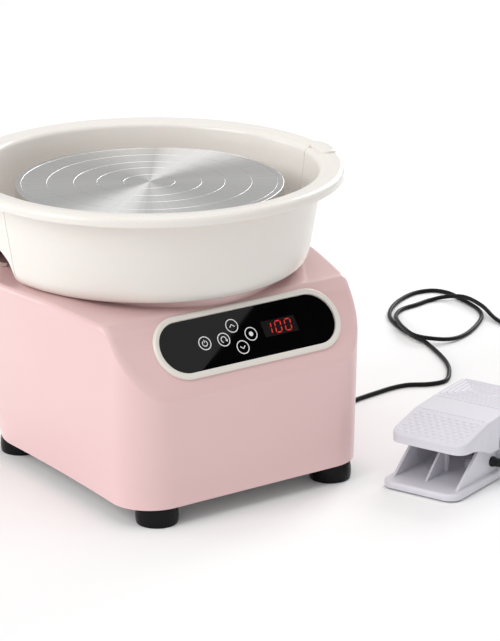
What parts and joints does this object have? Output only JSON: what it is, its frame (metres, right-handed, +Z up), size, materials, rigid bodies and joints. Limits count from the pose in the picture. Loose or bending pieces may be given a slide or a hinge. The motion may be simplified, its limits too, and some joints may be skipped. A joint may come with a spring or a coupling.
{
  "type": "pottery wheel",
  "caption": "Tabletop pottery wheel: sloped console housing, round turning head in a two-piece splash basin on rubber feet, with a corded treadle speed pedal.",
  "frame": {"origin": "middle of the footprint of the wheel and its pedal, on the floor, the free cord left out", "axes": "+Z up along the spindle, -Y towards the operator, +X to the operator's right"},
  "size_m": [0.8131, 0.6041, 0.3209],
  "materials": {
    "pink_plastic": "satin moulded ABS",
    "ivory_plastic": "satin moulded ABS",
    "white_plastic": "fine matt moulded ABS",
    "black_glass": "gloss black touch glass",
    "black_plastic": "satin black",
    "black_rubber": "satin black rubber",
    "circuit_board": "green solder mask",
    "aluminium": "turned and brushed",
    "steel": "ground steel",
    "zinc": "zinc plated"
  },
  "bodies": {
    "unit": {"base_plate": "zinc", "bearing_housing": "aluminium", "control_board": "circuit_board", "cord_plug": "black_plastic", "display_module": "black_plastic", "drive_belt": "black_rubber", "drive_frame": "steel", "foot_front_left": "black_rubber", "foot_front_right": "black_rubber", "foot_rear_left": "black_rubber", "foot_rear_right": "black_rubber", "foot_screw_front_left": "zinc", "foot_screw_front_right": "zinc", "foot_screw_rear_left": "zinc", "foot_screw_rear_right": "zinc", "frame_bolt_1": "zinc", "frame_bolt_2": "zinc", "frame_bolt_3": "zinc", "frame_bolt_4": "zinc", "fuse_holder": "black_plastic", "heat_sink": "aluminium", "hinge_pin": "steel", "housing": "pink_plastic", "lower_bearing": "steel", "mains_inlet": "black_plastic", "motor": "black_plastic", "panel_bezel": "ivory_plastic", "panel_glass": "black_glass", "pedal_base": "white_plastic", "pedal_cord": "black_rubber", "pedal_pad_front_left": "black_rubber", "pedal_pad_front_right": "black_rubber", "pedal_pad_rear_left": "black_rubber", "pedal_pad_rear_right": "black_rubber", "pedal_socket": "zinc", "power_board": "circuit_board", "return_spring": "steel", "sensor_board": "circuit_board", "strain_relief": "black_rubber", "switch_frame": "black_plastic", "upper_bearing": "steel"},
    "wheel": {"spindle": "steel", "wheel_head": "aluminium", "head_set_screw_1": "steel", "head_set_screw_2": "steel", "spindle_pulley": "black_plastic", "spindle_nut": "zinc"},
    "motor_rotor": {"motor_shaft": "steel", "motor_pulley": "zinc"},
    "treadle": {"treadle": "white_plastic", "sensor_magnet": "steel"},
    "rocker": {"power_rocker": "black_plastic"},
    "basin_front": {"splash_front": "ivory_plastic"},
    "basin_rear": {"splash_rear": "ivory_plastic"}
  },
  "joints": [
    {"name": "wheel_spin", "type": "hinge", "parent": "unit", "child": "wheel", "pos_m": [-0.0568, 0.0522, 0.2], "axis": [0, 0, 1], "continuous": true},
    {"name": "motor_spin", "type": "hinge", "parent": "unit", "child": "motor_rotor", "pos_m": [-0.0568, 0.1382, 0.094], "axis": [0, 0, 1], "continuous": true},
    {"name": "pedal_press", "type": "hinge", "parent": "unit", "child": "treadle", "pos_m": [0.19169, -0.17886, 0.036], "axis": [0.342, -0.9397, 0], "range_deg": [0, 11], "stiffness_Nm_per_rad": 2, "springref_deg": -8.59, "deforming": ["return_spring"]},
    {"name": "power_switch", "type": "hinge", "parent": "unit", "child": "rocker", "pos_m": [-0.0488, 0.18984, 0.062], "axis": [-1, 0, 0], "range_deg": [-16, 0]},
    {"name": "basin_front_off", "type": "slide", "parent": "unit", "child": "basin_front", "axis": [0, -1, 0], "range_m": [0, 0.32]},
    {"name": "basin_rear_off", "type": "slide", "parent": "unit", "child": "basin_rear", "axis": [0, 1, 0], "range_m": [0, 0.28]}
  ],
  "couplings": [
    {"joint": "motor_spin", "follows": "wheel_spin", "ratio": 3.7778}
  ]
}
